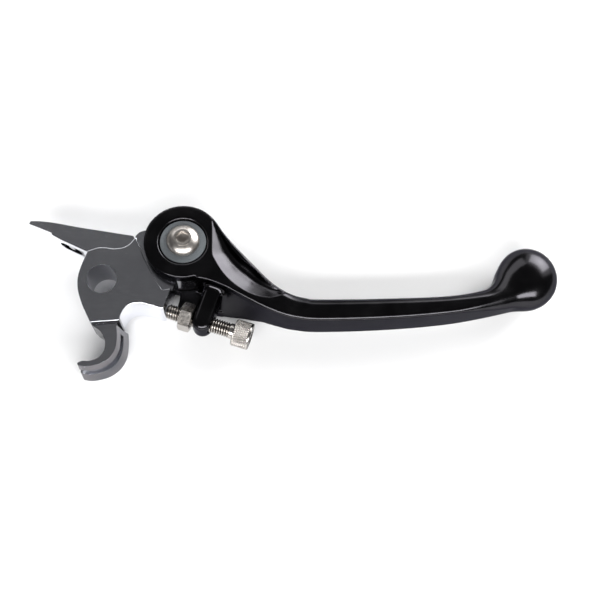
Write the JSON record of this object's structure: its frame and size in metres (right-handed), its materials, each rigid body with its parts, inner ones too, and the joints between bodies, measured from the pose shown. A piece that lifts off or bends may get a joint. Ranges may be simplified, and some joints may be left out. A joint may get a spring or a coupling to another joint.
{
  "type": "clutch lever",
  "caption": "Folding hand lever for a motorcycle's hydraulic master cylinder: machined knuckle with piston hook, spring-loaded folding blade and knurled reach adjuster.",
  "frame": {"origin": "centre of the main pivot bore, half way through the knuckle's 13.2 mm boss", "axes": "+X along the lever towards its ball end, +Y forward, away from the handlebar, +Z along the pivot towards the side that carries the fold bolt's head"},
  "size_m": [0.1714, 0.0541, 0.0203],
  "materials": {
    "machined_aluminium": "polished",
    "black_blade": "gloss",
    "grey_washer": "satin",
    "stainless": "satin",
    "steel": "satin",
    "bronze": "satin",
    "nylon": "matte"
  },
  "bodies": {
    "knuckle": {"knuckle": "machined_aluminium", "arm_contact_pin": "steel", "tongue_bush": "bronze", "fold_spring": "steel"},
    "fold_pivot": {"fold_bolt": "stainless", "cap_washer": "grey_washer", "sleeve_nut": "stainless", "upper_thrust_washer": "nylon", "lower_thrust_washer": "nylon"},
    "blade": {"blade": "black_blade", "upper_ear_bush": "bronze", "lower_ear_bush": "bronze"},
    "lock_nut": {"adjuster_lock_nut": "stainless"},
    "adjuster": {"adjuster_screw": "stainless"}
  },
  "joints": [
    {"name": "reach_swing", "type": "hinge", "parent": "knuckle", "child": "fold_pivot", "pos_m": [0.0245, 0.0125, 0], "axis": [0, 0, 1], "range_deg": [-4.4, 4.4]},
    {"name": "adjuster_turn", "type": "hinge", "parent": "blade", "child": "lock_nut", "pos_m": [0.01995, -0.0079, 0], "axis": [-0.9563, 0.2924, 0], "range_deg": [-720, 720]},
    {"name": "adjuster_travel", "type": "slide", "parent": "lock_nut", "child": "adjuster", "axis": [-0.9563, 0.2924, 0], "range_m": [-0.0016, 0.0016]},
    {"name": "fold", "type": "hinge", "parent": "fold_pivot", "child": "blade", "pos_m": [0.0245, 0.0125, 0], "axis": [0, 0, 1], "range_deg": [0, 80], "stiffness_Nm_per_rad": 0.28, "springref_deg": -28.65, "deforming": ["fold_spring"]}
  ],
  "couplings": [
    {"joint": "adjuster_turn", "follows": "reach_swing", "ratio": 163.67},
    {"joint": "adjuster_travel", "follows": "reach_swing", "m_per_rad": 0.020839}
  ]
}
